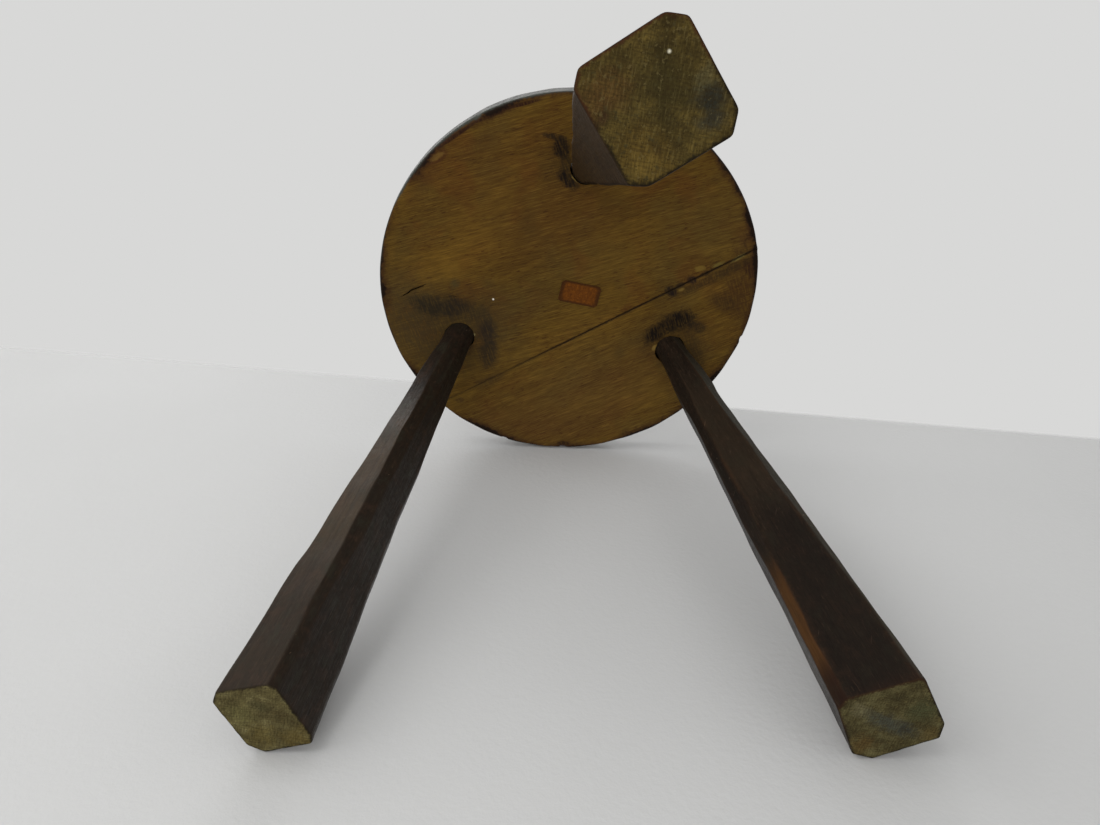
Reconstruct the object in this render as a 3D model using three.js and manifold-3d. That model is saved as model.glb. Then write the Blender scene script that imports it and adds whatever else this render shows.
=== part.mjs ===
// A small three-legged stool, made the traditional way: a round seat of two
// edge-jointed boards, and three whittled legs whose round tenons pass right
// through the seat and are wedged from above.
//
// Millimetres, +Z up, feet on the floor at Z = 0, the front leg towards -Y.
// Everything is placed about the seat's own axis first. At the end the whole
// stool moves so that the origin is the bottom centre of its bounding box.

import * as THREE from 'three';
import { mergeVertices } from 'three/addons/utils/BufferGeometryUtils.js';
import Module from 'manifold-3d';

const wasm = await Module();
wasm.setup();

// ---------------------------------------------------------------- dimensions

const FIT_GAP = 0.3; // left between any two pieces that touch

// Seat
const SEAT_RADIUS = 150;
const SEAT_THICKNESS = 20;
const UNDERSIDE_HEIGHT = 353; // floor to the underside of the seat
const TOP_ROUNDING = 6; // rounded edge of the sitting face
const BOTTOM_ROUNDING = 3; // rounded edge of the underside

// Joint between the two seat boards: a straight line across the seat
const JOINT_OFFSET = 40.5; // from the seat's axis to the joint
const JOINT_FACING = 57.8; // degrees, the direction from the axis to the joint
const JOINT_OPENING = 0.5; // the glue line has opened by this much

// Dowels hidden in the board joint
const DOWEL_RADIUS = 4;
const DOWEL_LENGTH = 50;
const DOWEL_END_ROOM = 1; // left at each end of a dowel in its hole
const DOWEL_PLACES = [-85, 0, 85]; // along the joint, from its middle

// Leg tenons and their wedges
const TENON_RADIUS = 11.5;
const SHAPED_NECK = 45; // length over which the round neck turns into facets
const WEDGE_DEPTH = 14; // how far a wedge is driven in from the top
const WEDGE_THICK = 3; // at the top
const WEDGE_THIN = 1.0; // at the bottom

// The legs are cut by hand, so no two are quite alike. socketReach and
// socketAzimuth are where a leg's axis enters the underside, footReach and
// footAzimuth where its foot stands. width and depth are the sides of the foot,
// facing is the direction, on the floor, that the width is measured in, and
// corners are cut off the foot's four edges, anticlockwise from the one between
// the width's and the depth's own directions.
const LEGS = [
  {
    name: 'front', socketReach: 95.5, socketAzimuth: -87.3, footReach: 209.5, footAzimuth: -92.4,
    width: 48.5, depth: 44.5, facing: -127.8, corners: [6.5, 7.5, 5.5, 6.5],
  },
  {
    name: 'right', socketReach: 100.5, socketAzimuth: 29.1, footReach: 177, footAzimuth: 29.3,
    width: 47, depth: 47.5, facing: 64, corners: [7, 4.5, 9, 5],
  },
  {
    name: 'left', socketReach: 99, socketAzimuth: 150.9, footReach: 191.5, footAzimuth: 149.1,
    width: 35.5, depth: 44, facing: 159.3, corners: [3, 6.5, 5.5, 6.5],
  },
];

// Paper label on the underside
const LABEL_LENGTH = 32;
const LABEL_WIDTH = 18;
const LABEL_THICKNESS = 0.3;
const LABEL_CORNER = 2; // clipped off each corner
const LABEL_CENTRE = new THREE.Vector2(8, 4.5);
const LABEL_TURN = 8.5;

// Fineness of the round surfaces
const SEAT_SEGMENTS = 120;
const BORE_SEGMENTS = 48;
const ROUNDING_STEPS = 6;
const POINTS_PER_FACET = 3;

// Sizes that follow from the ones above
const SEAT_TOP = UNDERSIDE_HEIGHT + SEAT_THICKNESS;
const SEAT_MIDDLE = UNDERSIDE_HEIGHT + SEAT_THICKNESS / 2;
const BORE_RADIUS = TENON_RADIUS + FIT_GAP;
const NECK_CORNER = TENON_RADIUS * (2 - Math.SQRT2); // makes an even octagon
const WELL_PAST = 4 * SEAT_RADIUS; // larger than anything a cutter has to cover

// ----------------------------------------------------------------- materials

const wood = (name, color, roughness) =>
  new THREE.MeshStandardMaterial({ name, color, roughness, metalness: 0 });

const SEAT_WOOD = wood('seat_wood', 0x8a6a36, 0.6);
const LEG_WOOD = wood('leg_wood', 0x3d261a, 0.42);
const WEDGE_WOOD = wood('wedge_wood', 0x6b4a2a, 0.55);
const DOWEL_WOOD = wood('dowel_wood', 0xb08a58, 0.7);
const LABEL_PAPER = wood('label_paper', 0x8c4a20, 0.6);

// ------------------------------------------------------------------- helpers

const radians = THREE.MathUtils.degToRad;

/** The point at a distance and a direction from the seat's axis, at height z. */
function polar(reach, azimuth, z) {
  const angle = radians(azimuth);
  return new THREE.Vector3(reach * Math.cos(angle), reach * Math.sin(angle), z);
}

/** Join equal corners, and drop the triangles that this leaves with no area. */
function weld(geometry) {
  const bare = geometry.clone();
  bare.deleteAttribute('normal');
  bare.deleteAttribute('uv');
  const merged = mergeVertices(bare, 1e-4);
  const corners = merged.index.array;
  const kept = [];
  for (let i = 0; i < corners.length; i += 3) {
    const [a, b, c] = [corners[i], corners[i + 1], corners[i + 2]];
    if (a !== b && b !== c && c !== a) {
      kept.push(a, b, c);
    }
  }
  merged.setIndex(kept);
  return merged;
}

/** A closed geometry as a solid that can be cut and joined. */
function solid(geometry) {
  const welded = weld(geometry);
  return new wasm.Manifold(new wasm.Mesh({
    numProp: 3,
    vertProperties: new Float32Array(welded.attributes.position.array),
    triVerts: new Uint32Array(welded.index.array),
  }));
}

/** A solid as a geometry again. */
function geometryOf(body) {
  const mesh = body.getMesh();
  const geometry = new THREE.BufferGeometry();
  geometry.setAttribute('position', new THREE.BufferAttribute(mesh.vertProperties, 3));
  geometry.setIndex(new THREE.BufferAttribute(mesh.triVerts, 1));
  return geometry;
}

/** The matrix that puts a shape's own X, Y and Z along the given directions. */
function placed(x, y, z, origin) {
  return new THREE.Matrix4().makeBasis(x, y, z).setPosition(origin);
}

/** A skin over rings of equal length, the lowest ring first, closed at both ends. */
function loft(rings) {
  const count = rings[0].length;
  const points = rings.flat();
  const faces = [];
  for (let ring = 0; ring < rings.length - 1; ring += 1) {
    for (let i = 0; i < count; i += 1) {
      const here = ring * count + i;
      const next = ring * count + (i + 1) % count;
      faces.push(here, next, next + count);
      faces.push(here, next + count, here + count);
    }
  }
  const last = points.length - count;
  for (let i = 1; i < count - 1; i += 1) {
    faces.push(0, i + 1, i);
    faces.push(last, last + i, last + i + 1);
  }
  const geometry = new THREE.BufferGeometry().setFromPoints(points);
  geometry.setIndex(faces);
  return geometry;
}

// ---------------------------------------------------------------------- legs

/** A leg's axis: where it crosses the floor, and its direction upwards. */
function axisOf(leg) {
  const foot = polar(leg.footReach, leg.footAzimuth, 0);
  const socket = polar(leg.socketReach, leg.socketAzimuth, UNDERSIDE_HEIGHT);
  const up = socket.clone().sub(foot).normalize();
  return { foot, up };
}

/** The point of a leg's axis at height z. */
function axisPoint({ foot, up }, z) {
  return foot.clone().addScaledVector(up, (z - foot.z) / up.z);
}

/** Points round an oblong with cut corners, anticlockwise, evenly along each side. */
function facetedOutline(width, depth, [a, b, c, e]) {
  const [w, d] = [width / 2, depth / 2];
  const corners = [
    [w, d - a], [w - a, d], [b - w, d], [-w, d - b],
    [-w, c - d], [c - w, -d], [w - e, -d], [w, e - d],
  ].map(([x, y]) => new THREE.Vector2(x, y));
  return corners.flatMap((start, i) => {
    const end = corners[(i + 1) % corners.length];
    return Array.from({ length: POINTS_PER_FACET }, (_, k) =>
      start.clone().lerp(end, k / POINTS_PER_FACET));
  });
}

/** A level slice through a leg: faceted below, and the tilted round tenon above. */
function legSlice(leg, z) {
  const axis = axisOf(leg);
  const centre = axisPoint(axis, z);
  const down = THREE.MathUtils.clamp(1 - z / UNDERSIDE_HEIGHT, 0, 1);
  const neck = 2 * TENON_RADIUS;
  const outline = facetedOutline(
    THREE.MathUtils.lerp(neck, leg.width, down),
    THREE.MathUtils.lerp(neck, leg.depth, down),
    leg.corners.map((cut) => THREE.MathUtils.lerp(NECK_CORNER, cut, down)),
  );
  const facets = THREE.MathUtils.smoothstep(UNDERSIDE_HEIGHT - z, 0, SHAPED_NECK);
  const lean = new THREE.Vector2(axis.up.x, axis.up.y);
  const stretch = 1 / axis.up.z; // a level cut through a leaning cylinder is longer
  lean.normalize();
  return outline.map((corner) => {
    corner.rotateAround(new THREE.Vector2(), radians(leg.facing));
    const round = corner.clone().setLength(TENON_RADIUS);
    round.addScaledVector(lean, (stretch - 1) * round.dot(lean));
    const at = round.lerp(corner, facets);
    return new THREE.Vector3(centre.x + at.x, centre.y + at.y, z);
  });
}

/** A leg's wedge, grown on every side by room, before it is trimmed to the tenon. */
function wedgeBlank(leg, room) {
  const axis = axisOf(leg);
  // The wedge lies across the grain of the seat, so that it can't split a board.
  const acrossGrain = polar(1, JOINT_FACING, 0);
  const thickness = new THREE.Vector3().crossVectors(axis.up, acrossGrain).normalize();
  const width = new THREE.Vector3().crossVectors(thickness, axis.up);
  const top = axisPoint(axis, SEAT_TOP);
  const [thick, thin] = [WEDGE_THICK / 2 + room, WEDGE_THIN / 2 + room];
  // The sides keep their slope past the top, where the seat's surface trims them.
  const past = TENON_RADIUS;
  const spread = (thick - thin) / WEDGE_DEPTH * past;
  const outline = new THREE.Shape([
    new THREE.Vector2(-thin, -WEDGE_DEPTH - room),
    new THREE.Vector2(thin, -WEDGE_DEPTH - room),
    new THREE.Vector2(thick + spread, past),
    new THREE.Vector2(-thick - spread, past),
  ]);
  const length = 4 * TENON_RADIUS;
  const blank = new THREE.ExtrudeGeometry(outline, { depth: length, bevelEnabled: false });
  blank.translate(0, 0, -length / 2);
  blank.applyMatrix4(placed(thickness, axis.up, width, top));
  return solid(blank);
}

/** A round bar along a leg's axis, from well below the seat to well above it. */
function roundAlong(leg, radius) {
  const axis = axisOf(leg);
  const bar = new THREE.CylinderGeometry(radius, radius, 6 * SEAT_THICKNESS, BORE_SEGMENTS);
  const turn = new THREE.Quaternion().setFromUnitVectors(new THREE.Vector3(0, 1, 0), axis.up);
  bar.applyQuaternion(turn);
  const middle = axisPoint(axis, SEAT_MIDDLE);
  bar.translate(middle.x, middle.y, middle.z);
  return solid(bar);
}

function legGeometry(leg) {
  const heights = [0];
  const neckStart = UNDERSIDE_HEIGHT - SHAPED_NECK;
  for (let step = 1; step <= 6; step += 1) {
    heights.push(neckStart * step / 6);
  }
  for (let step = 1; step <= 6; step += 1) {
    heights.push(neckStart + SHAPED_NECK * step / 6);
  }
  heights.push(SEAT_TOP);
  const whole = solid(loft(heights.map((z) => legSlice(leg, z))));
  return geometryOf(whole.subtract(wedgeBlank(leg, FIT_GAP)));
}

/** Everything below the sitting face. */
function belowSeatTop() {
  const block = new THREE.BoxGeometry(WELL_PAST, WELL_PAST, WELL_PAST);
  block.translate(0, 0, SEAT_TOP - WELL_PAST / 2);
  return solid(block);
}

function wedgeGeometry(leg) {
  const trimmed = wedgeBlank(leg, 0)
    .intersect(roundAlong(leg, TENON_RADIUS - FIT_GAP / 2))
    .intersect(belowSeatTop());
  return geometryOf(trimmed);
}

// ---------------------------------------------------------------------- seat

/** Points of a quarter circle in the profile of the seat's edge. */
function quarterRound(centreX, centreY, radius, startDegrees) {
  return Array.from({ length: ROUNDING_STEPS + 1 }, (_, step) => {
    const angle = radians(startDegrees + 90 * step / ROUNDING_STEPS);
    return new THREE.Vector2(
      centreX + radius * Math.cos(angle),
      centreY + radius * Math.sin(angle),
    );
  });
}

/** The whole round seat, before it is divided into boards. */
function seatDisc() {
  const profile = [
    new THREE.Vector2(0, UNDERSIDE_HEIGHT),
    ...quarterRound(
      SEAT_RADIUS - BOTTOM_ROUNDING, UNDERSIDE_HEIGHT + BOTTOM_ROUNDING, BOTTOM_ROUNDING, -90,
    ),
    ...quarterRound(SEAT_RADIUS - TOP_ROUNDING, SEAT_TOP - TOP_ROUNDING, TOP_ROUNDING, 0),
    new THREE.Vector2(0, SEAT_TOP),
  ];
  const disc = new THREE.LatheGeometry(profile, SEAT_SEGMENTS);
  disc.rotateX(Math.PI / 2); // the lathe turns about Y
  return solid(disc);
}

const acrossJoint = polar(1, JOINT_FACING, 0);
const alongJoint = polar(1, JOINT_FACING - 90, 0);

/** Everything on one side of the joint: side 1 is the narrow board's, -1 the wide one's. */
function sideOfJoint(side) {
  const block = new THREE.BoxGeometry(WELL_PAST, WELL_PAST, WELL_PAST);
  const reach = JOINT_OFFSET + side * (JOINT_OPENING / 2 + WELL_PAST / 2);
  const middle = acrossJoint.clone().multiplyScalar(reach).setZ(SEAT_MIDDLE);
  const up = new THREE.Vector3(0, 0, 1);
  block.applyMatrix4(placed(acrossJoint, up.clone().cross(acrossJoint), up, middle));
  return solid(block);
}

/** A round bar across the board joint, at a place along it. */
function barAcrossJoint(place, radius, length) {
  const bar = new THREE.CylinderGeometry(radius, radius, length, BORE_SEGMENTS);
  const middle = acrossJoint.clone().multiplyScalar(JOINT_OFFSET)
    .addScaledVector(alongJoint, place).setZ(SEAT_MIDDLE);
  const up = new THREE.Vector3(0, 0, 1);
  bar.applyMatrix4(placed(alongJoint, acrossJoint, up, middle));
  return bar;
}

function boardGeometry(side) {
  let board = seatDisc().intersect(sideOfJoint(side));
  for (const leg of LEGS) {
    board = board.subtract(roundAlong(leg, BORE_RADIUS));
  }
  const holeLength = DOWEL_LENGTH + 2 * DOWEL_END_ROOM;
  for (const place of DOWEL_PLACES) {
    const hole = barAcrossJoint(place, DOWEL_RADIUS + FIT_GAP, holeLength);
    board = board.subtract(solid(hole));
  }
  return geometryOf(board);
}

// --------------------------------------------------------------------- label

function labelGeometry() {
  const [x, y, cut] = [LABEL_LENGTH / 2, LABEL_WIDTH / 2, LABEL_CORNER];
  const outline = new THREE.Shape([
    new THREE.Vector2(x, y - cut), new THREE.Vector2(x - cut, y),
    new THREE.Vector2(cut - x, y), new THREE.Vector2(-x, y - cut),
    new THREE.Vector2(-x, cut - y), new THREE.Vector2(cut - x, -y),
    new THREE.Vector2(x - cut, -y), new THREE.Vector2(x, cut - y),
  ]);
  const paper = new THREE.ExtrudeGeometry(
    outline, { depth: LABEL_THICKNESS, bevelEnabled: false },
  );
  paper.rotateZ(radians(LABEL_TURN));
  const bottom = UNDERSIDE_HEIGHT - FIT_GAP - LABEL_THICKNESS;
  paper.translate(LABEL_CENTRE.x, LABEL_CENTRE.y, bottom);
  return weld(paper);
}

// ------------------------------------------------------------------ assembly

const group = new THREE.Group();
group.name = 'three_legged_stool';

function add(name, geometry, material) {
  const finish = material.clone();
  finish.name = name;
  const mesh = new THREE.Mesh(geometry, finish);
  mesh.name = name;
  group.add(mesh);
}

add('seat_wide_board', boardGeometry(-1), SEAT_WOOD);
add('seat_narrow_board', boardGeometry(1), SEAT_WOOD);
DOWEL_PLACES.forEach((place, i) => {
  const dowel = weld(barAcrossJoint(place, DOWEL_RADIUS, DOWEL_LENGTH));
  add(`joint_dowel_${i + 1}`, dowel, DOWEL_WOOD);
});
for (const leg of LEGS) {
  add(`${leg.name}_leg`, legGeometry(leg), LEG_WOOD);
  add(`${leg.name}_wedge`, wedgeGeometry(leg), WEDGE_WOOD);
}
add('paper_label', labelGeometry(), LABEL_PAPER);

// The origin: the bottom centre of the bounding box.
const bounds = new THREE.Box3().setFromObject(group);
const centre = bounds.getCenter(new THREE.Vector3());
for (const mesh of group.children) {
  mesh.geometry.translate(-centre.x, -centre.y, -bounds.min.z);
}

export default group;
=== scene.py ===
"""The looks of a small three-legged stool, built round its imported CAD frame.

The seat is two boards jointed edge to edge, raw and stained underneath, dark and polished on
the rim and the sitting face. The legs are whittled: chamfered squares that shrink to a round
neck, pushed through the seat and wedged. All lengths are in metres. Shapes are worked out in
the seat's own place: the seat's axis is x = y = 0 and its underside is z = 0, with the legs
below it, and SEAT_PLACE takes them to the frame.
"""
import math

import bpy
import numpy as np
from mathutils import Matrix, Vector


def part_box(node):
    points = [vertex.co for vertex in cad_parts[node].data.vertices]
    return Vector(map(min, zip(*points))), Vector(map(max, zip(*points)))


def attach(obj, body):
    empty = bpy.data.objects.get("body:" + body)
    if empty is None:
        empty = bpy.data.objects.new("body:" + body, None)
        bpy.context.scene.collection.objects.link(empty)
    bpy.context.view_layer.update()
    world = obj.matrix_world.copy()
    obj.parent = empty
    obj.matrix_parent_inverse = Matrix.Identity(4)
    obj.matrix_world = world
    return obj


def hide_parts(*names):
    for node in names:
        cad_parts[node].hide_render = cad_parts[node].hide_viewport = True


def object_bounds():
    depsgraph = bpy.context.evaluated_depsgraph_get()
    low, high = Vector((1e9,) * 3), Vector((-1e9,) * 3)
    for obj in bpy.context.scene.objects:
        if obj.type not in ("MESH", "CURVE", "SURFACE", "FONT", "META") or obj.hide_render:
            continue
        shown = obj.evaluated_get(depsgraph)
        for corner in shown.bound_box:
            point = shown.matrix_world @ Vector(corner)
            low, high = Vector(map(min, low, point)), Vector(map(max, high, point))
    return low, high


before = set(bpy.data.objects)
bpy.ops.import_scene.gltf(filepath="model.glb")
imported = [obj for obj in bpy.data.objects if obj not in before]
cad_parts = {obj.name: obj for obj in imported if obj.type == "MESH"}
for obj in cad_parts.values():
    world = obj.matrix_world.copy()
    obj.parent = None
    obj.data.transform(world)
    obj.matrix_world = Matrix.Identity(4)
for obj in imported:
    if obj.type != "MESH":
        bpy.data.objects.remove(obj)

cad_low, cad_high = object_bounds()
rng = np.random.default_rng(7)

# ---------------------------------------------------------------- sizes from the frame

BOARDS = ("seat_wide_board", "seat_narrow_board")
LEG_NAMES = ("front", "right", "left")


def union_box(nodes):
    """The lowest and highest corner of several CAD nodes together."""
    corners = np.array([[list(c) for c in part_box(n)] for n in nodes])
    return corners[:, 0].min(0), corners[:, 1].max(0)


seat_low, seat_high = union_box(BOARDS)
SEAT_RADIUS = (seat_high[0] - seat_low[0]) / 2
SEAT_THICKNESS = seat_high[2] - seat_low[2]
SEAT_PLACE = np.array([*(seat_low[:2] + seat_high[:2]) / 2, seat_low[2]])
FLOOR = -SEAT_PLACE[2]

# ---------------------------------------------------------------- sizes of the pieces

TOP_ROUNDING = 0.006
BOTTOM_ROUNDING = 0.003
JOINT_OFFSET = 0.0405  # seat axis to the board joint
JOINT_FACING = math.radians(57.8)
JOINT_OPENING = 0.0005
JOINT_CLOSES = (0.55, 0.9)  # between these shares of its length the joint narrows to a hair
TENON_RADIUS = 0.0115
BORE_RADIUS = 0.0118
SHAPED_NECK = 0.045  # over this length the round neck turns into facets
WEDGE_DEPTH = 0.014
WEDGE_THICK = 0.003
WEDGE_THIN = 0.001
FIT_GAP = 0.0003
LEG_POINTS = 288  # points round a leg
FOOT_ARRIS = 0.0011  # the worn edge round a foot

# Where each leg's axis enters the underside and meets the floor, as (distance from the seat's
# axis, direction in degrees); and, for the foot, the eight facets' own directions from the one
# called facing, in degrees, and their distances from the axis. crisp is how sharp the edges
# between facets are, and swells are places where a facet stands out: (facet, share of the way
# down where it starts, where it has died away, height).
LEGS = {
    "front": dict(socket=(0.0955, -87.3), foot=(0.2095, -92.4), facing=-127.8, crisp=90,
                  turns=(1.6, 41, 90, 131, 181.6, 217, 271.9, 315),
                  reaches=(0.0241, 0.0284, 0.0224, 0.0284, 0.0244, 0.0297, 0.0228, 0.0299),
                  swells=((6, 0.75, 1.3, 0.0005),)),
    "right": dict(socket=(0.1005, 29.1), foot=(0.177, 29.3), facing=64.0, crisp=80,
                  turns=(-2.5, 42, 90, 141.5, 181.6, 225, 264, 295),
                  reaches=(0.0260, 0.0302, 0.0243, 0.0301, 0.0235, 0.0302, 0.0236, 0.0297),
                  swells=((5, 0.2, 0.9, -0.0010), (6, 0.2, 0.9, -0.0012))),
    "left": dict(socket=(0.099, 150.9), foot=(0.1915, 149.1), facing=159.3, crisp=75,
                 turns=(-4.6, 38.3, 97, 146, 175.9, 205, 273.4, 318),
                 reaches=(0.0172, 0.0257, 0.0220, 0.0211, 0.0157, 0.0240, 0.0231, 0.0226),
                 swells=((0, 0.73, 1.15, 0.0011), (1, 0.73, 1.15, 0.0013))),
}


def tone(red, green, blue):
    """A colour written as 0-255 display values, as the linear colour that a node takes."""
    shown = np.array([red, green, blue]) / 255
    linear = np.where(shown <= 0.04045, shown / 12.92, ((shown + 0.055) / 1.055) ** 2.4)
    return (*linear.tolist(), 1.0)


# Where the stain on a leg has worn or gathered, and on the front leg's facets 6 and 7 a lighter
# brown that is partly the wood's own tone and partly painted ochre bounce light from the
# underside: share of the way up from the foot, spread, the facets it lies on, its colour and
# its strength.
LEG_MARKS = {
    # facets 6 and 7: partly painted ochre bounce light from the seat's underside
    "front": ((0.5, 0.9, (6, 7), tone(60, 45, 27), 0.7),),
    "right": ((0.16, 0.13, (3,), tone(88, 57, 26), 0.6),
              (0.00, 0.07, (3,), tone(36, 22, 16), 0.9),
              (0.62, 0.36, (2, 3), tone(26, 21, 17), 0.7),
              (0.12, 0.30, (4,), tone(25, 20, 16), 0.75),
              (0.62, 0.22, (4,), tone(48, 39, 29), 0.6),
              (0.45, 0.55, (5,), tone(66, 64, 54), 0.5)),
    "left": ((0.86, 0.24, (1, 2), tone(27, 21, 16), 0.85),
             (0.45, 0.24, (1, 2), tone(70, 57, 41), 0.6),
             (0.08, 0.20, (1, 2), tone(46, 37, 26), 0.6),
             (0.30, 0.60, (3, 4, 5), tone(32, 23, 13), 0.6)),
}
LEG_WEAR = {"front": 0.25, "right": 0.40, "left": 0.10}  # how bare the edges are
LEG_MOTTLE = {"front": 0.2, "right": 0.2, "left": 0.45}  # how cloudy the stain is
LEG_SHINE = {"front": 0.02, "right": 0.04, "left": 0.10}

LABEL_SIZE = (0.032, 0.018)
LABEL_THICKNESS = 0.0003
LABEL_CORNER = 0.002
LABEL_CENTRE = (0.008, 0.0045)
LABEL_TURN = math.radians(8.5)

# ---------------------------------------------------------------- mesh helpers


def smoothstep(x, low, high):
    """0 below low, 1 above high, and 3t^2 - 2t^3 between."""
    t = np.clip((x - low) / (high - low), 0, 1)
    return t * t * (3 - 2 * t)


def waves(x, lengths, heights, phases):
    """A sum of sines of x: height * sin(2 pi x / length + phase) for each wave."""
    total = np.zeros_like(x, dtype=float)
    for length, height, phase in zip(lengths, heights, phases):
        total = total + height * np.sin(2 * math.pi * x / length + phase)
    return total


def skin(name, rings, first_pole, last_pole):
    """A closed mesh over rings of points, shape (rings, points, 3), with a pole at each end.

    Rings run anticlockwise seen from the last pole. Quads join ring to ring, and triangles
    join the first and last ring to their poles, so every face points outwards.
    """
    rows, count, _ = rings.shape
    points = np.concatenate([rings.reshape(-1, 3), [first_pole, last_pole]])
    here = np.arange(rows * count).reshape(rows, count)
    after = np.roll(here, -1, axis=1)
    quads = np.stack([here[:-1], after[:-1], after[1:], here[1:]], -1).reshape(-1, 4)
    low, high = rows * count, rows * count + 1
    low_fan = np.stack([np.full(count, low), after[0], here[0]], -1)
    high_fan = np.stack([np.full(count, high), here[-1], after[-1]], -1)
    mesh = bpy.data.meshes.new(name)
    mesh.from_pydata((points + SEAT_PLACE).tolist(), [],
                     quads.tolist() + low_fan.tolist() + high_fan.tolist())
    mesh.validate()
    piece = bpy.data.objects.new(name, mesh)
    bpy.context.scene.collection.objects.link(piece)
    return piece


def smooth(piece, angle=32):
    """Shade smooth, with a crisp edge wherever faces meet at more than angle degrees."""
    piece.data.shade_smooth()
    piece.data.set_sharp_from_angle(angle=math.radians(angle))


def cut(piece, cutters):
    """Take the cutters' volumes out of a piece for good, and remove the cutters."""
    for cutter in cutters:
        tool = piece.modifiers.new(cutter.name, "BOOLEAN")
        tool.operation = "DIFFERENCE"
        tool.solver = "EXACT"
        tool.object = cutter
    shaped = piece.evaluated_get(bpy.context.evaluated_depsgraph_get())
    mesh = bpy.data.meshes.new_from_object(shaped)
    piece.modifiers.clear()
    piece.data = mesh
    for cutter in cutters:
        bpy.data.objects.remove(cutter)


def own_points(piece):
    """A piece's vertices as an array in the seat's own place."""
    flat = np.empty(len(piece.data.vertices) * 3)
    piece.data.vertices.foreach_get("co", flat)
    return flat.reshape(-1, 3) - SEAT_PLACE


def keep_value(piece, name, values):
    """Store one number for each vertex, for a material to read."""
    layer = piece.data.attributes.new(name, "FLOAT", "POINT")
    layer.data.foreach_set("value", np.asarray(values, np.float32))


# ---------------------------------------------------------------- legs


def polar(reach, degrees, z):
    """The point at that distance and direction from the seat's axis."""
    angle = math.radians(degrees)
    return np.array([reach * math.cos(angle), reach * math.sin(angle), z])


def leg_axis(leg):
    """The foot's middle on the floor, and the direction of the leg's axis, upwards."""
    foot = polar(*leg["foot"], FLOOR)
    up = polar(*leg["socket"], 0.0) - foot
    return foot, up / np.linalg.norm(up)


def axis_point(leg, z):
    """Points of a leg's axis at the heights z, shape (..., 3)."""
    foot, up = leg_axis(leg)
    return foot + (np.asarray(z)[..., None] - foot[2]) / up[2] * up


def facet_lines(leg, z):
    """The direction and distance of the eight facets at the heights z, each (8, len(z)).

    Both go in a straight line from an even octagon at the neck to the foot's own. A swell
    rises as a short smooth step and dies away slowly. Each facet also wanders a little.
    """
    down = np.clip(z / FLOOR, 0, 1)
    even = np.arange(8)[:, None] * math.pi / 4
    turns = even + (np.radians(leg["turns"])[:, None] - even) * down
    reaches = TENON_RADIUS + (np.array(leg["reaches"])[:, None] - TENON_RADIUS) * down
    for facet, start, end, height in leg["swells"]:
        reaches[facet] += height * smoothstep(down, start - 0.02, start + 0.03) \
            * (1 - smoothstep(down, start + 0.03, end))
    shaped = smoothstep(down, 0.02, 0.2) * (1 - 0.6 * smoothstep(down, 0.9, 1.0))
    for k in range(8):
        reaches[k] += shaped * waves(z, (0.16, 0.073, 0.031), (0.00035, 0.0002, 0.00009),
                                     leg["phases"][k])
    return turns, reaches


def leg_outline(leg, z, angles):
    """Level slices through a leg at the heights z, shape (len(z), len(angles), 3).

    The faceted slice is a softened polygon: with c_k the cosine between a direction and facet
    k's own, and d_k that facet's distance, the radius is (sum of (c_k / d_k)^p)^(-1/p), and p
    sets how sharp the edges are. Near the seat it blends into the level slice through a
    leaning round tenon, which is a circle stretched along the lean by 1 / cos(lean).
    """
    facing = math.radians(leg["facing"])
    _, up = leg_axis(leg)
    turns, reaches = facet_lines(leg, z)
    sharpness = leg["crisp"] * (1 + 0.35 * np.sin(z / 0.019 + leg["phases"][0][0]))[:, None]
    total = 0
    for k in range(8):
        cosine = np.clip(np.cos(angles - turns[k][:, None]), 1e-6, None)
        total = total + (cosine * TENON_RADIUS / reaches[k][:, None]) ** sharpness
    faceted = TENON_RADIUS * total ** (-1 / sharpness)
    shaped = smoothstep(-z, 0, SHAPED_NECK)[:, None]
    turned = angles + facing
    flat = np.stack([np.cos(turned), np.sin(turned)], -1)
    lean = up[:2] / np.linalg.norm(up[:2])
    along = flat @ lean
    stretched = flat + ((1 / up[2] - 1) * along)[:, None] * lean
    level = (shaped * faceted)[..., None] * flat
    level = level + ((1 - shaped) * TENON_RADIUS)[..., None] * stretched
    centre = axis_point(leg, z)
    outline = np.empty((len(z), len(angles), 3))
    outline[..., :2] = centre[:, None, :2] + level
    outline[..., 2] = z[:, None]
    return outline


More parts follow.
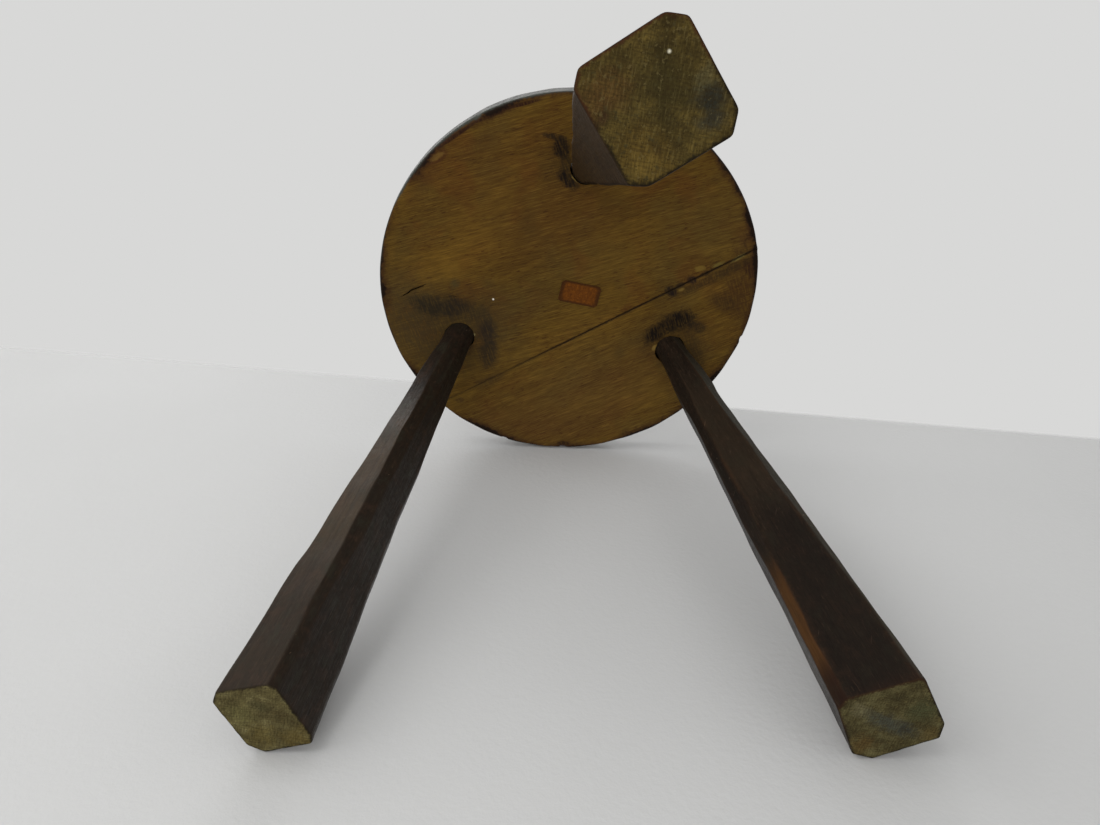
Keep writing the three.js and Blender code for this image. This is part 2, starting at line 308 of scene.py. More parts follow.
def make_leg(name):
    """A whole leg: end grain rings, a worn arris, the faceted shaft, the tenon and its end."""
    leg = LEGS[name]
    angles = np.arange(LEG_POINTS) * 2 * math.pi / LEG_POINTS
    step = np.linspace(0, math.pi / 2, 5)
    shaft = np.concatenate([
        FLOOR + FOOT_ARRIS * (1 - np.cos(step)),
        np.linspace(FLOOR + 0.003, -SHAPED_NECK, 120),
        np.linspace(-SHAPED_NECK + 0.002, 0, 26),
        np.linspace(0.002, SEAT_THICKNESS - 0.0004, 8),
        [SEAT_THICKNESS],
    ])
    rings = leg_outline(leg, shaft, angles)
    centres = axis_point(leg, shaft)[:, None]
    drawn_in = np.zeros(len(shaft))
    worn = 1 + 0.45 * waves(angles, (2.1, 0.9, 0.37), (0.5, 0.35, 0.3), leg["phases"][1])
    drawn_in[:len(step)] = FOOT_ARRIS * (1 - np.sin(step))
    drawn_in[-1] = 0.0003
    inward = rings - centres
    reach = np.linalg.norm(inward, axis=-1, keepdims=True)
    rings = rings - inward / reach * drawn_in[:, None, None] * worn[None, :, None]
    cap = np.linspace(0.08, 0.97, 14)[:, None, None]
    foot_cap = centres[:1] + (rings[:1] - centres[:1]) * cap
    tenon_cap = centres[-1:] + (rings[-1:] - centres[-1:]) * cap[::-2]
    rings = np.concatenate([foot_cap, rings, tenon_cap])
    piece = skin(f"{name}_leg_whittled", rings, centres[0, 0], centres[-1, 0])
    cut(piece, [wedge_slot(leg)])
    points = own_points(piece)
    share = facet_share(leg, points)
    ordered = np.sort(share, axis=0)
    keep_value(piece, "edge", 1 - smoothstep(ordered[-1] - ordered[-2], 0.0, 0.10))
    keep_value(piece, "foot", smoothstep(FLOOR - points[:, 2], -0.0006, -0.0001))
    keep_value(piece, "rim", ordered[-1])
    for index, (middle, spread, facets, _, _) in enumerate(LEG_MARKS[name]):
        others = np.delete(share, facets, axis=0).max(0)
        on_facet = smoothstep(share[list(facets)].max(0) - others, -0.02, 0.03)
        away = np.abs(1 - points[:, 2] / FLOOR - middle)
        near = 1 - smoothstep(away, 0.5 * spread, 1.3 * spread)
        keep_value(piece, f"mark_{index}", on_facet * near)
    smooth(piece, 40)
    return piece


def facet_share(leg, points):
    """For each point, (offset along facet k's direction) / d_k, for the eight facets.

    The greatest is the facet that the point lies on. Two equal ones are an edge.
    """
    z = np.clip(points[:, 2], FLOOR, 0)
    turns, reaches = facet_lines(leg, z)
    offset = (points - axis_point(leg, points[:, 2]))[:, :2]
    turns = turns + math.radians(leg["facing"])
    return (offset[:, 0] * np.cos(turns) + offset[:, 1] * np.sin(turns)) / reaches


def wedge_slot(leg):
    """The saw cut in a tenon's end: a tapering slab across the grain, open at both sides.

    As it stands this cut takes nothing away: the tenons come out whole, and each wedge lies
    inside its tenon.
    """
    _, up = leg_axis(leg)
    across = np.array([math.cos(JOINT_FACING), math.sin(JOINT_FACING), 0])
    thick = np.cross(up, across)
    thick /= np.linalg.norm(thick)
    wide = np.cross(thick, up)
    top = axis_point(leg, np.array(SEAT_THICKNESS))
    past = TENON_RADIUS
    grow = (WEDGE_THICK - WEDGE_THIN) / 2 / WEDGE_DEPTH
    levels = ((-WEDGE_DEPTH - FIT_GAP, WEDGE_THIN / 2 + FIT_GAP),
              (past, WEDGE_THICK / 2 + FIT_GAP + grow * past))
    corners = ((1, 1), (-1, 1), (-1, -1), (1, -1))
    rings = np.array([[top + up * h + thick * half * a + wide * 2 * TENON_RADIUS * b
                       for a, b in corners] for h, half in levels])
    return skin("wedge_slot", rings, rings[0].mean(0), rings[1].mean(0))


# ---------------------------------------------------------------- seat boards


def board_outline(side):
    """The outline of a board, anticlockwise, and how much of the rim's rounding each point has.

    The wide board is the disc short of the joint (side -1), the narrow one the rest (side 1).
    The arc is the seat's circle, a little uneven, and the straight part is the joint's line.
    """
    line = JOINT_OFFSET + side * JOINT_OPENING / 2
    half_angle = math.acos(line / SEAT_RADIUS)
    if side > 0:
        turn = np.linspace(-half_angle, half_angle, 520)
    else:
        turn = np.linspace(half_angle, 2 * math.pi - half_angle, 860)
    azimuth = turn + JOINT_FACING
    uneven = waves(azimuth, (2 * math.pi, math.pi, 0.9, 0.37), (2e-4, 2e-4, 8e-5, 5e-5),
                   (0.4, 1.9, 3.1, 5.0))
    uneven = uneven * np.sin(np.linspace(0, math.pi, len(turn))) ** 0.5
    reach = SEAT_RADIUS - 0.0002 + uneven
    arc = np.stack([reach * np.cos(azimuth), reach * np.sin(azimuth)], -1)
    share = np.linspace(0, 1, 200)[1:-1, None]
    straight = arc[-1] * (1 - share) + arc[0] * share
    along = share if side < 0 else 1 - share  # 0 at the end where the boards stand apart
    closed = (JOINT_OPENING - 0.0001) / 2 * smoothstep(along, *JOINT_CLOSES)
    straight = straight - side * closed * np.array([math.cos(JOINT_FACING),
                                                    math.sin(JOINT_FACING)])
    rounding = np.concatenate([
        1 + waves(azimuth, (1.3, 0.41, 0.17), (0.16, 0.14, 0.1), (1.0, 2.0, 0.3)),
        np.full(len(straight), 0.07)])
    rounding[:6] *= np.linspace(0.1, 1, 6)
    rounding[len(arc) - 6:len(arc)] *= np.linspace(1, 0.1, 6)
    return np.concatenate([arc, straight]), rounding


NICKS = (  # bites out of the rim's lower edge: direction in degrees, width, depth
    (87.3, 0.0030, 0.0013),
    (107.2, 0.0026, 0.0009),
    (-122.0, 0.0030, 0.0010),
    (14.0, 0.0025, 0.0012),
)


def make_board(node, side):
    """A board: flat faces drawn out from a middle point, with rounded edges between them.

    It has no dowel holes, so the dowels lie inside solid wood.
    """
    outline, rounding = board_outline(side)
    middle = 0.0 if side < 0 else (JOINT_OFFSET + SEAT_RADIUS) / 2
    middle = middle * np.array([math.cos(JOINT_FACING), math.sin(JOINT_FACING)])
    out = outline - middle
    reach = np.linalg.norm(out, axis=-1)
    out = out / reach[:, None]
    quarter = np.linspace(0, math.pi / 2, 8)
    # Rows from the underside's middle to the top's: share of the flat, inset and rise.
    low = [(BOTTOM_ROUNDING * (1 - math.sin(q)), BOTTOM_ROUNDING * (1 - math.cos(q)))
           for q in quarter]
    high = [(TOP_ROUNDING * (1 - math.cos(q)), TOP_ROUNDING * (1 - math.sin(q)))
            for q in quarter]
    flat = np.linspace(0.12, 0.985, 9)
    rows = []
    for share in flat:
        inset = reach - (reach - BOTTOM_ROUNDING * rounding) * share
        rows.append((inset, np.zeros_like(reach)))
    for inset, rise in low:
        rows.append((inset * rounding, rise * rounding))
    for share in (0.3, 0.6):
        rows.append((np.zeros_like(reach), SEAT_THICKNESS * share * np.ones_like(reach)))
    for inset, drop in high:
        rows.append((inset * rounding, SEAT_THICKNESS - drop * rounding))
    for share in flat[::-1]:
        inset = reach - (reach - TOP_ROUNDING * rounding) * share
        rows.append((inset, np.full_like(reach, SEAT_THICKNESS)))
    inset = np.array([row[0] for row in rows])
    rise = np.array([row[1] for row in rows])
    rings = np.empty((len(rows), len(reach), 3))
    rings[..., :2] = middle + (reach - inset)[..., None] * out
    rings[..., 2] = rise
    on_rim = rounding > 0.3
    azimuth = np.arctan2(rings[..., 1], rings[..., 0])
    radius = np.hypot(rings[..., 0], rings[..., 1])
    for degrees, width, depth in NICKS:
        away = np.angle(np.exp(1j * (azimuth - math.radians(degrees)))) * SEAT_RADIUS
        bite = depth * np.exp(-(away / width) ** 4) * (1 - smoothstep(rise, 0.0, 0.007))
        bite = bite * smoothstep(radius, SEAT_RADIUS - 0.01, SEAT_RADIUS - 0.003) * on_rim
        rings[..., :2] *= (1 - bite / np.maximum(radius, 0.01))[..., None]
    pole = np.array([*middle, 0.0])
    board = skin(f"{node}_jointed", rings, pole, pole + [0, 0, SEAT_THICKNESS])
    cut(board, [socket_cutter(name) for name in LEG_NAMES]
        + [split_cutter(*split) for split in SPLITS if split[0] == side])
    smooth(board)
    height = own_points(board)[:, 2]
    faces = np.array([height[list(face.vertices)].max() for face in board.data.polygons])
    slot = (faces > 0.0004).astype(np.int32) + (faces > SEAT_THICKNESS - 0.005)
    board.data.polygons.foreach_set("material_index", slot)
    return board


CHIPS = {  # where a socket's mouth is broken: direction in degrees, width in degrees, depth
    "front": ((120.0, 34.0, 0.0016), (170.0, 20.0, 0.0012)),
    "right": ((150.0, 30.0, 0.0022), (100.0, 20.0, 0.0012), (-60.0, 16.0, 0.0006)),
    "left": ((20.0, 22.0, 0.0012), (-70.0, 30.0, 0.0006)),
}


def socket_cutter(name):
    """A leaning round bore whose lower mouth is worn wider and chipped in a few directions.

    The radius at angle a and height z is the bore's, plus a wear that dies away inside the
    seat, plus a bump for each chip: depth * exp(-(angle off / width)^2) * exp(-z / 3 mm).
    """
    leg = LEGS[name]
    _, up = leg_axis(leg)
    angles = np.arange(96) * 2 * math.pi / 96
    heights = np.concatenate([np.linspace(-0.012, 0.008, 21), [0.02, 0.034]])
    side = np.cross(up, [0, 0, 1.0])
    side /= np.linalg.norm(side)
    other = np.cross(up, side)
    worn = 0.0002 * (1 + waves(angles, (2.5, 0.8, 0.31), (0.5, 0.4, 0.4), leg["phases"][2]))
    radius = np.full((len(heights), len(angles)), BORE_RADIUS)
    round_way = np.cos(angles)[:, None] * side + np.sin(angles)[:, None] * other
    azimuth = np.degrees(np.arctan2(round_way[:, 1], round_way[:, 0]))
    near_mouth = np.exp(-np.clip(heights, 0, None) / 0.003)[:, None]
    radius = radius + worn[None] * near_mouth
    for degrees, width, depth in CHIPS[name]:
        off = (azimuth - degrees + 180) % 360 - 180
        radius = radius + depth * np.exp(-(off / width) ** 2)[None] * near_mouth
    centre = axis_point(leg, heights)
    rings = centre[:, None] + radius[..., None] * round_way[None]
    if np.cross(rings[0, 0] - centre[0], rings[0, 1] - centre[0]) @ up < 0:
        rings = rings[:, ::-1]
    return skin(f"{name}_bore", rings, centre[0], centre[-1])


SPLITS = (  # drying cracks in the underside: board side, start, end, width, depth
    (-1, (-0.1335, 0.0160), (-0.1135, 0.0038), 0.0017, 0.0040),
    (-1, (-0.1025, 0.0150), (-0.0822, 0.0118), 0.0006, 0.0020),
)


def split_cutter(_, start, end, width, depth):
    """A crack: a boat-shaped sliver, widest in its middle, that tapers to nothing below."""
    start, end = np.array(start), np.array(end)
    along = np.linspace(0, 1, 13)
    way = (end - start) / np.linalg.norm(end - start)
    aside = np.array([-way[1], way[0]])
    wander = waves(along, (0.7, 0.31), (0.0004, 0.0002), (0.5, 2.0))
    spine = start + along[:, None] * (end - start) + wander[:, None] * aside
    open_by = width / 2 * (0.08 + np.sin(math.pi * along) ** 0.7)
    left = spine + aside * open_by[:, None]
    right = spine - aside * open_by[:, None]
    loop = np.concatenate([right, left[::-1]])
    keel = np.concatenate([spine, spine[::-1]])
    drawn_in = 0.85  # how far the bottom has closed towards the spine
    bottom = drawn_in * keel + (1 - drawn_in) * loop
    below = -0.001  # starts outside the wood
    rings = np.stack([np.column_stack([loop, np.full(len(loop), below)]),
                      np.column_stack([bottom, np.full(len(loop), depth)])])
    return skin("split", rings, rings[0].mean(0), rings[1].mean(0))


# ---------------------------------------------------------------- paper label


def make_label():
    """A thin sheet with clipped corners whose edges lift a little from the wood."""
    half = np.array(LABEL_SIZE) / 2
    x, y, c = *half, LABEL_CORNER
    corners = np.array([(x, c - y), (x, y - c), (x - c, y), (c - x, y),
                        (-x, y - c), (-x, c - y), (c - x, -y), (x - c, -y)])
    share = np.linspace(0, 1, 24, endpoint=False)[:, None]
    outline = np.concatenate([a + (b - a) * share
                              for a, b in zip(corners, np.roll(corners, -1, axis=0))])
    frayed = 1 + 0.006 * rng.standard_normal(len(outline))[:, None]
    outline = outline * frayed
    cos, sin = math.cos(LABEL_TURN), math.sin(LABEL_TURN)
    out = np.linspace(0.05, 1, 16)
    border = [*out, *out[::-1]]  # from the middle to the edge, and back on the other side
    rows = []
    for share, side in zip(border, [0] * len(out) + [1] * len(out)):
        flat = outline * share
        reach = np.abs(flat / half).max(-1)
        lift = 0.00035 * smoothstep(reach, 0.75, 1.0) * (0.5 + 0.5 * np.sin(
            np.arctan2(flat[:, 1], flat[:, 0]) * 2 + 1))
        crease = 0.00004 * np.sin(flat[:, 0] * 900) * np.sin(flat[:, 1] * 700 + 1)
        z = -FIT_GAP - LABEL_THICKNESS * (1 - side) - lift + crease
        rows.append(np.column_stack([flat, z]))
    rings = np.array(rows)
    turned = rings.copy()
    turned[..., 0] = rings[..., 0] * cos - rings[..., 1] * sin + LABEL_CENTRE[0]
    turned[..., 1] = rings[..., 0] * sin + rings[..., 1] * cos + LABEL_CENTRE[1]
    low = np.array([*LABEL_CENTRE, -FIT_GAP - LABEL_THICKNESS])
    label = skin("paper_label_aged", turned, low, low + [0, 0, LABEL_THICKNESS])
    keep_value(label, "border", [*np.repeat(border, len(outline)), 0, 0])
    smooth(label, 60)
    return label


for leg in LEGS.values():
    leg["phases"] = rng.uniform(0, 2 * math.pi, (8, 3))

legs = {name: make_leg(name) for name in LEG_NAMES}
boards = {node: make_board(node, side) for node, side in zip(BOARDS, (-1, 1))}
label = make_label()

# ---------------------------------------------------------------- finishes


class Words:
    """Short words for the nodes of a material or a world."""

    def __init__(self, tree):
        self.tree = tree

    def first(self, kind):
        """The node of that type that the tree began with."""
        return next(n for n in self.tree.nodes if n.type == kind)

    def put(self, socket, value):
        """Give a socket a plain value, or link another node's output to it."""
        if isinstance(value, bpy.types.NodeSocket):
            self.tree.links.new(value, socket)
        else:
            socket.default_value = value

    def add(self, kind, settings=None, inputs=None):
        node = self.tree.nodes.new(kind)
        for name, value in (settings or {}).items():
            setattr(node, name, value)
        for socket, value in (inputs or {}).items():
            self.put(node.inputs[socket], value)
        return node

    def place(self, origin, turn=(0, 0, 0), stretch=(1, 1, 1), within=None):
        """Places seen from an origin in turned axes, each axis divided by its stretch."""
        return self.add("ShaderNodeMapping", {"vector_type": "TEXTURE"}, {
            "Vector": within or self.object_place, "Location": origin, "Rotation": turn,
            "Scale": stretch}).outputs[0]

    def noise(self, place, size, detail=3.0, rough=0.55, warp=0.0):
        """Cloudy noise round 0.5, whose blobs are about size metres across."""
        return self.add("ShaderNodeTexNoise", None, {
            "Vector": place, "Scale": 1 / size, "Detail": detail, "Roughness": rough,
            "Distortion": warp}).outputs["Fac"]

    def band(self, value, low, high, start=0.0, end=1.0):
        """start where value is under low, end where it is over high, smooth between."""
        return self.add("ShaderNodeMapRange", {"interpolation_type": "SMOOTHSTEP"}, {
            "Value": value, "From Min": low, "From Max": high, "To Min": start,
            "To Max": end}).outputs[0]

    def sum(self, a, b, times=1.0):
        """a + b * times"""
        return self.add("ShaderNodeMath", {"operation": "MULTIPLY_ADD"},
                        {0: b, 1: times, 2: a}).outputs[0]

    def reckon(self, operation, a, b=0.0):
        return self.add("ShaderNodeMath", {"operation": operation}, {0: a, 1: b}).outputs[0]

    def both(self, *masks):
        """The product of masks."""
        total = masks[0]
        for mask in masks[1:]:
            total = self.reckon("MULTIPLY", total, mask)
        return total

    def either(self, *masks):
        """The greatest of masks."""
        total = masks[0]
        for mask in masks[1:]:
            total = self.reckon("MAXIMUM", total, mask)
        return total

    def mix(self, share, a, b, how="MIX"):
        node = self.add("ShaderNodeMix", {"data_type": "RGBA", "blend_type": how},
                        {0: share, 6: a, 7: b})
        return node.outputs[2]

    def ramp(self, value, *stops):
        """A colour ramp over (position, colour) stops."""
        node = self.add("ShaderNodeValToRGB", None, {0: value})
        elements = node.color_ramp.elements
        while len(elements) < len(stops):
            elements.new(1.0)
        for element, (position, colour) in zip(elements, stops):
            element.position = position
            element.color = colour
        return node.outputs[0]

    def blend(self, share, a, b):
        """A number between a and b."""
        return self.add("ShaderNodeMix", None, {0: share, 2: a, 3: b}).outputs[0]

    def layers(self, colour, *layers):
        """A colour with tints laid over it, each as (value, low, high, start, end, tint)."""
        for *reach, tint in layers:
            colour = self.mix(self.band(*reach), colour, tint)
        return colour

    def split(self, place):
        return self.add("ShaderNodeSeparateXYZ", None, {0: place}).outputs

    def reach(self, place):
        """The distance from the origin of a place."""
        return self.add("ShaderNodeVectorMath", {"operation": "LENGTH"},
                        {0: place}).outputs["Value"]


class Finish(Words):
    """A material."""

    def __init__(self, name):
        self.material = bpy.data.materials.new(name)
        self.material.use_nodes = True
        super().__init__(self.material.node_tree)
        self.shader = self.first("BSDF_PRINCIPLED")
        self.object_place = self.add("ShaderNodeTexCoord").outputs["Object"]

    def kept(self, name):
        """A number stored on the mesh."""
        return self.add("ShaderNodeAttribute", {"attribute_name": name}).outputs["Fac"]

    def patch(self, centre, radii, turn, ragged, noise, soft=0.35, strength=1.0):
        """strength inside a ragged ellipse on the seat's underside and 0 outside it."""
        place = self.place(SEAT_PLACE + [*centre, 0], (0, 0, math.radians(turn)),
                           (*radii, 1.0))
        away = self.sum(self.reach(place), self.reckon("SUBTRACT", noise, 0.5), ragged)
        return self.band(away, 1 + soft, 1 - soft, 0.0, strength)

    def finish(self, colour, roughness, relief, **plain):
        """Link colour and roughness, and bump each (height, depth in metres) of relief."""
        self.put(self.shader.inputs["Base Color"], colour)
        self.put(self.shader.inputs["Roughness"], roughness)
        normal = None
        for height, depth in relief:
            bump = self.add("ShaderNodeBump", None, {"Height": height, "Distance": depth})
            if normal:
                self.put(bump.inputs["Normal"], normal)
            normal = bump.outputs[0]
        self.put(self.shader.inputs["Normal"], normal)
        for name, value in plain.items():
            self.shader.inputs[name.replace("_", " ")].default_value = value
        return self.material


WIDE_GRAIN = math.radians(-19)
NARROW_GRAIN = math.radians(-27)

TONES = (  # broad changes of the wood's own colour: centre, radii, turn, strength, colour
    ((-0.010, -0.055), (0.050, 0.026), -20, 0.50, tone(78, 48, 17)),
    ((-0.060, -0.090), (0.046, 0.020), -38, 0.30, tone(88, 54, 18)),
    ((-0.095, -0.020), (0.036, 0.017), -30, 0.45, tone(116, 84, 26)),
    ((0.045, -0.030), (0.046, 0.024), -35, 0.40, tone(112, 84, 28)),
    ((0.105, -0.055), (0.030, 0.024), -50, 0.45, tone(78, 62, 28)),
    ((-0.035, 0.012), (0.034, 0.016), -30, 0.50, tone(74, 60, 25)),
    ((0.020, 0.095), (0.075, 0.034), -30, 0.45, tone(92, 67, 32)),
    ((0.010, 0.040), (0.040, 0.010), -30, 0.35, tone(114, 84, 28)),
    ((-0.015, 0.128), (0.060, 0.016), 0, 0.40, tone(84, 56, 24)),
)
STAINS = (  # on the underside: centre, radii, turn, raggedness, softness, strength, colour
    # round the front leg's socket
    ((-0.0150, -0.1000), (0.013, 0.019), 30, 1.4, 0.7, 0.45, tone(52, 38, 18)),
    ((-0.0210, -0.1160), (0.0095, 0.0024), 8, 1.2, 0.3, 0.9, tone(32, 24, 15)),
    ((-0.0165, -0.1085), (0.0078, 0.0058), 60, 1.2, 0.3, 0.95, tone(26, 19, 13)),
    ((-0.0120, -0.0965), (0.0042, 0.0070), 0, 1.4, 0.4, 0.75, tone(38, 29, 17)),
    ((-0.0090, -0.0850), (0.0090, 0.0052), 35, 1.2, 0.3, 0.95, tone(24, 18, 13)),
    # beside the left leg's socket
    ((-0.1240, 0.0400), (0.034, 0.026), 75, 0.9, 0.8, 0.75, tone(60, 48, 28)),
    ((-0.0840, 0.0420), (0.036, 0.034), 20, 0.9, 0.7, 0.7, tone(54, 43, 25)),
    ((-0.1100, 0.0225), (0.0150, 0.0085), 18, 1.3, 0.5, 0.85, tone(36, 31, 22)),
    ((-0.0900, 0.0225), (0.0130, 0.0085), 8, 1.3, 0.5, 0.85, tone(35, 29, 22)),
    ((-0.0700, 0.0290), (0.0085, 0.0085), 40, 1.4, 0.6, 0.6, tone(46, 38, 24)),
    ((-0.0640, 0.0430), (0.0120, 0.0070), 80, 1.3, 0.5, 0.85, tone(36, 30, 24)),
    ((-0.0620, 0.0620), (0.0120, 0.0075), 90, 1.3, 0.5, 0.8, tone(38, 31, 23)),
    ((-0.0910, 0.0026), (0.0035, 0.0042), 0, 1.2, 0.5, 0.5, tone(58, 55, 34)),
    ((-0.0530, 0.0130), (0.0040, 0.0020), 0, 1.2, 0.6, 0.35, tone(76, 48, 18)),
    ((-0.0600, 0.0870), (0.0130, 0.0050), -30, 1.4, 0.6, 0.5, tone(52, 38, 22)),
    # round the right leg's socket
    ((0.0910, 0.0430), (0.025, 0.024), 0, 1.3, 0.7, 0.6, tone(52, 40, 22)),
    ((0.0735, 0.0350), (0.0110, 0.0070), -50, 1.3, 0.4, 1.0, tone(24, 18, 13)),
    ((0.0910, 0.0230), (0.0140, 0.0085), -25, 1.3, 0.4, 1.0, tone(24, 18, 13)),
    ((0.1060, 0.0270), (0.0080, 0.0050), 20, 1.5, 0.5, 0.75, tone(36, 28, 18)),
    ((0.1100, 0.0540), (0.0060, 0.0170), -20, 1.5, 0.6, 0.55, tone(46, 35, 20)),
    ((0.0460, 0.0540), (0.0040, 0.0060), 0, 1.3, 0.7, 0.45, tone(62, 48, 22)),
    # the old bark side, near the rim at the joint's open end
    ((0.1370, -0.0050), (0.027, 0.012), 72, 1.4, 0.6, 0.75, tone(56, 35, 17)),
    ((0.1400, -0.0250), (0.0080, 0.0040), 60, 1.4, 0.4, 0.75, tone(40, 18, 14)),
    ((0.1240, 0.0040), (0.0120, 0.0070), 20, 1.3, 0.6, 0.7, tone(48, 32, 17)),
    ((0.1130, -0.0160), (0.034, 0.0042), -32, 1.5, 0.5, 0.7, tone(48, 35, 18)),
    ((0.1340, -0.0500), (0.0130, 0.0060), -60, 1.5, 0.6, 0.5, tone(66, 42, 22)),
    # dark blots in the joint
    ((0.0808, -0.0024), (0.0052, 0.0038), 20, 0.8, 0.35, 0.95, tone(26, 20, 18)),
    ((0.0870, -0.0075), (0.0042, 0.0022), -30, 1.0, 0.35, 0.8, tone(36, 27, 16)),
    ((0.0965, -0.0128), (0.0042, 0.0032), 0, 0.8, 0.35, 0.95, tone(28, 20, 20)),
    ((0.1060, -0.0190), (0.0040, 0.0022), -30, 1.0, 0.35, 0.7, tone(34, 26, 15)),
    ((0.0470, 0.0140), (0.0050, 0.0030), -30, 1.2, 0.5, 0.5, tone(72, 40, 16)),
    ((-0.0840, 0.1070), (0.0035, 0.0025), 0, 1.2, 0.4, 0.6, tone(50, 34, 18)),
    # worn polish round the upper left of the rim
    ((-0.0800, -0.1050), (0.018, 0.006), -35, 1.6, 0.7, 0.4, tone(64, 40, 17)),
    ((-0.1180, -0.0720), (0.016, 0.006), -55, 1.6, 0.7, 0.35, tone(62, 38, 18)),
    ((-0.0960, -0.1105), (0.0210, 0.0015), -37, 0.3, 0.4, 1.0, tone(38, 18, 12)),
    ((-0.0700, -0.1275), (0.0135, 0.0014), -26, 0.3, 0.4, 1.0, tone(40, 19, 13)),
    ((-0.0480, -0.1372), (0.0150, 0.0013), -17, 0.3, 0.4, 1.0, tone(42, 20, 13)),
    ((-0.1070, -0.0955), (0.0095, 0.0042), -33, 0.8, 0.25, 0.7, tone(62, 33, 17)),
    # darker blots at the two nicks in the rim's lower edge
    ((0.0070, 0.1455), (0.0060, 0.0030), 0, 1.2, 0.3, 0.9, tone(34, 20, 12)),
    ((-0.0440, 0.1415), (0.0045, 0.0025), 15, 1.2, 0.3, 0.8, tone(38, 24, 13)),
)
PALE_CHIPS = (  # fresh wood: centre, radii, turn, colour
    ((-0.0035, -0.0868), (0.0035, 0.0016), 35, tone(126, 104, 52)),
    ((0.0745, 0.0480), (0.0018, 0.0028), 20, tone(120, 96, 46)),
    ((-0.0604, 0.0137), (0.0007, 0.0007), 0, tone(250, 244, 228)),
    ((-0.1075, -0.0958), (0.0062, 0.0020), -33, tone(104, 78, 34)),
    ((-0.0740, 0.0455), (0.0008, 0.0010), 10, tone(110, 100, 66)),
    ((0.1010, -0.0228), (0.0042, 0.0022), -15, tone(108, 86, 34)),
    ((0.1150, -0.0270), (0.0045, 0.0014), -32, tone(98, 84, 38)),
    ((0.1300, -0.0335), (0.0060, 0.0016), -38, tone(106, 94, 48)),
    ((0.0890, -0.0040), (0.0022, 0.0012), -30, tone(110, 88, 40)),
)


